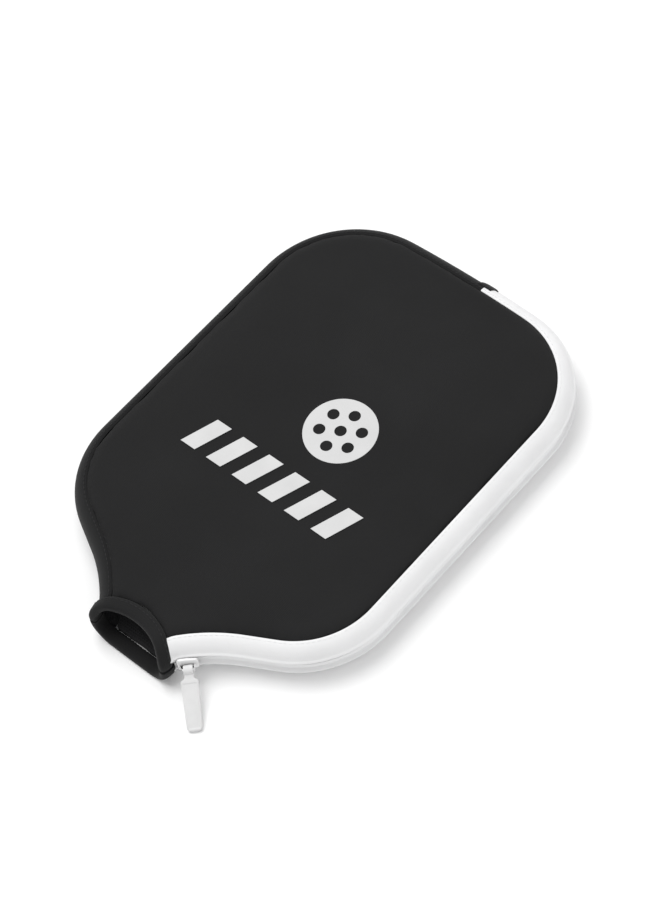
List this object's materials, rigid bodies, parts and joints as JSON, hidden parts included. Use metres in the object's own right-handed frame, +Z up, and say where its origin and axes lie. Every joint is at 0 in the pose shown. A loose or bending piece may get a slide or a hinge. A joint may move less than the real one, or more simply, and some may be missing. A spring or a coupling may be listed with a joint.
{
  "type": "paddle case",
  "caption": "Soft zip-up case for a racket-sport paddle: padded front and back, zip round one side, side gusset, collared neck opening and a slider with a pull.",
  "frame": {"origin": "on the underside, on the centre line, halfway between the neck seam and the top seam", "axes": "+X towards the zip side, +Y from the neck to the top of the head, +Z up through the front panel"},
  "size_m": [0.218, 0.322, 0.0302],
  "materials": {
    "face_knit": "black circular-knit jersey, matt",
    "gusset_knit": "black circular-knit jersey, matt",
    "foam_core": "black closed-cell chloroprene foam",
    "lining_knit": "black brushed knit lining",
    "zip_tape": "white woven polyester tape",
    "zip_coil": "white nylon coil",
    "zip_stop": "white moulded stop",
    "collar_fabric": "black stretch binding, folded over the edge",
    "binding_tape": "black woven binding tape",
    "slider_enamel": "white enamelled zinc casting",
    "pull_rubber": "white moulded soft pull",
    "print_film": "white heat-transfer film"
  },
  "bodies": {
    "case_back": {"back_face": "face_knit", "back_foam": "foam_core", "back_lining": "lining_knit", "gusset_face": "gusset_knit", "gusset_foam": "foam_core", "gusset_lining": "lining_knit", "front_face_hinge_side": "face_knit", "front_foam_hinge_side": "foam_core", "front_lining_hinge_side": "lining_knit", "back_binding": "binding_tape", "front_binding_hinge_side": "binding_tape", "back_collar": "collar_fabric", "back_zip_tape": "zip_tape", "back_zip_coil": "zip_coil", "back_top_stop": "zip_stop", "bottom_stop": "zip_stop", "zip_end_tab": "binding_tape", "print_hinge_side": "print_film"},
    "front_flap": {"front_face_zip_side": "face_knit", "front_foam_zip_side": "foam_core", "front_lining_zip_side": "lining_knit", "front_binding_zip_side": "binding_tape", "front_collar": "collar_fabric", "front_zip_tape": "zip_tape", "front_zip_coil": "zip_coil", "front_top_stop": "zip_stop", "print_zip_side": "print_film"},
    "slider": {"slider_body": "slider_enamel", "slider_bridge": "slider_enamel"},
    "pull": {"pull_tab": "pull_rubber"}
  },
  "joints": [
    {"name": "case_opening", "type": "hinge", "parent": "case_back", "child": "front_flap", "pos_m": [-0.00425, 0, 0.03], "axis": [-0.1137, -0.9935, 0], "range_deg": [0, 60]},
    {"name": "zip_slider_travel", "type": "hinge", "parent": "case_back", "child": "slider", "pos_m": [0.10576, -0.21271, 0.015], "axis": [0, 0, -1], "range_deg": [0, 17]},
    {"name": "pull_swing", "type": "hinge", "parent": "slider", "child": "pull", "pos_m": [0.03804, -0.1458, 0.015], "axis": [-0.7028, -0.7114, 0], "range_deg": [-60, 105]}
  ]
}
